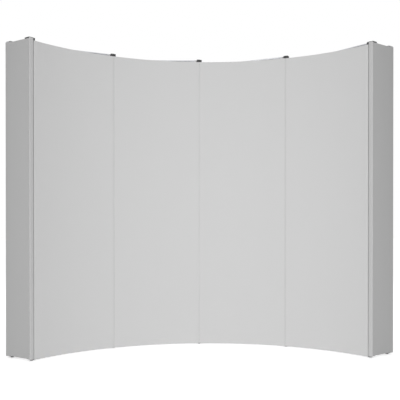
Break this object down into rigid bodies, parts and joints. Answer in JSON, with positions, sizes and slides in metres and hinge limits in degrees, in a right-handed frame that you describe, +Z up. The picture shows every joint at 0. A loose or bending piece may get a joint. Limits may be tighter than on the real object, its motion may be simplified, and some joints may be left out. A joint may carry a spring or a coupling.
{
  "type": "pop up display backwall",
  "caption": "Curved pop up display backwall: a lattice of crossed struts on hubs carries magnetic bars, plain curved graphic panels and flat end panels.",
  "frame": {"origin": "on the floor, at the middle of the bounding box", "axes": "+Z up; the hollow side of the curve and the end panels' near corners face -Y; +X to the right of someone who looks at the hollow side"},
  "size_m": [2.7876, 0.8523, 2.2411],
  "materials": {
    "hub_plastic": "moulded black",
    "tube": "drawn and anodised",
    "moulded_plastic": "moulded black",
    "steel": "zinc plated",
    "foot_rubber": "matte",
    "bar_metal": "extruded and anodised",
    "joiner": "moulded black",
    "block_plastic": "moulded black",
    "magnet": "flexible magnetic strip",
    "trim_metal": "light grey, satin",
    "sheet": "light grey laminated sheet, matte",
    "rail": "moulded black",
    "arm_plastic": "moulded black"
  },
  "bodies": {
    "frame": {"front_hubs_row_1": "hub_plastic", "front_hubs_row_2": "hub_plastic", "front_hubs_row_3": "hub_plastic", "front_hubs_row_4": "hub_plastic", "rear_hubs_row_1": "hub_plastic", "rear_hubs_row_2": "hub_plastic", "rear_hubs_row_3": "hub_plastic", "rear_hubs_row_4": "hub_plastic", "row_struts_1": "tube", "row_struts_2": "tube", "row_struts_3": "tube", "row_struts_4": "tube", "column_struts_1": "tube", "column_struts_2": "tube", "column_struts_3": "tube", "column_struts_4": "tube", "column_struts_5": "tube", "row_strut_ends": "moulded_plastic", "column_strut_ends": "moulded_plastic", "crossing_rivets": "steel", "hub_pins": "steel", "feet": "foot_rubber", "front_bar_1": "bar_metal", "front_bar_2": "bar_metal", "front_bar_3": "bar_metal", "front_bar_4": "bar_metal", "front_bar_5": "bar_metal", "rear_bar_left": "bar_metal", "rear_bar_right": "bar_metal", "bar_joiners": "joiner", "hanger_blocks": "block_plastic", "hanger_pins": "steel", "bar_magnets": "magnet", "corner_trims_left": "trim_metal", "corner_trims_right": "trim_metal"},
    "panel_1": {"panel_sheet_1": "sheet", "panel_rails_1": "rail", "panel_magnets_1": "magnet"},
    "panel_2": {"panel_sheet_2": "sheet", "panel_rails_2": "rail", "panel_magnets_2": "magnet"},
    "panel_3": {"panel_sheet_3": "sheet", "panel_rails_3": "rail", "panel_magnets_3": "magnet"},
    "panel_4": {"panel_sheet_4": "sheet", "panel_rails_4": "rail", "panel_magnets_4": "magnet"},
    "end_panel_left": {"end_sheet_left": "sheet", "end_rails_left": "rail", "end_magnets_left": "magnet"},
    "end_panel_right": {"end_sheet_right": "sheet", "end_rails_right": "rail", "end_magnets_right": "magnet"},
    "lock_arm_1": {"lock_arm_1": "arm_plastic"},
    "lock_arm_2": {"lock_arm_2": "arm_plastic"},
    "lock_arm_3": {"lock_arm_3": "arm_plastic"},
    "lock_arm_4": {"lock_arm_4": "arm_plastic"},
    "lock_arm_5": {"lock_arm_5": "arm_plastic"},
    "lock_arm_6": {"lock_arm_6": "arm_plastic"}
  },
  "joints": [
    {"name": "panel_1_swing", "type": "hinge", "parent": "frame", "child": "panel_1", "pos_m": [-0.91679, -0.17923, 2.23255], "axis": [-0.7705, -0.6374, 0], "range_deg": [0, 19]},
    {"name": "panel_2_swing", "type": "hinge", "parent": "frame", "child": "panel_2", "pos_m": [-0.32843, 0.11284, 2.23255], "axis": [0.9736, 0.2284, 0], "range_deg": [-19, 0]},
    {"name": "panel_3_swing", "type": "hinge", "parent": "frame", "child": "panel_3", "pos_m": [0.32843, 0.11284, 2.23255], "axis": [-0.9736, 0.2284, 0], "range_deg": [0, 19]},
    {"name": "panel_4_swing", "type": "hinge", "parent": "frame", "child": "panel_4", "pos_m": [0.91679, -0.17923, 2.23255], "axis": [0.7705, -0.6374, 0], "range_deg": [-19, 0]},
    {"name": "end_panel_left_swing", "type": "hinge", "parent": "frame", "child": "end_panel_left", "pos_m": [-1.2911, -0.34699, 2.23255], "axis": [-0.7965, 0.6046, 0], "range_deg": [0, 45]},
    {"name": "end_panel_right_swing", "type": "hinge", "parent": "frame", "child": "end_panel_right", "pos_m": [1.2911, -0.34699, 2.23255], "axis": [-0.7965, -0.6046, 0], "range_deg": [0, 45]},
    {"name": "lock_arm_1_lift", "type": "hinge", "parent": "frame", "child": "lock_arm_1", "pos_m": [-0.74565, 0.21467, 0.76318], "axis": [-0.8957, -0.4446, 0], "range_deg": [0, 80]},
    {"name": "lock_arm_2_lift", "type": "hinge", "parent": "frame", "child": "lock_arm_2", "pos_m": [0, 0.38956, 0.76318], "axis": [-1, 0, 0], "range_deg": [0, 80]},
    {"name": "lock_arm_3_lift", "type": "hinge", "parent": "frame", "child": "lock_arm_3", "pos_m": [0.74565, 0.21467, 0.76318], "axis": [-0.8957, 0.4446, 0], "range_deg": [0, 80]},
    {"name": "lock_arm_4_lift", "type": "hinge", "parent": "frame", "child": "lock_arm_4", "pos_m": [-0.74565, 0.21467, 1.49187], "axis": [-0.8957, -0.4446, 0], "range_deg": [0, 80]},
    {"name": "lock_arm_5_lift", "type": "hinge", "parent": "frame", "child": "lock_arm_5", "pos_m": [0, 0.38956, 1.49187], "axis": [-1, 0, 0], "range_deg": [0, 80]},
    {"name": "lock_arm_6_lift", "type": "hinge", "parent": "frame", "child": "lock_arm_6", "pos_m": [0.74565, 0.21467, 1.49187], "axis": [-0.8957, 0.4446, 0], "range_deg": [0, 80]}
  ]
}
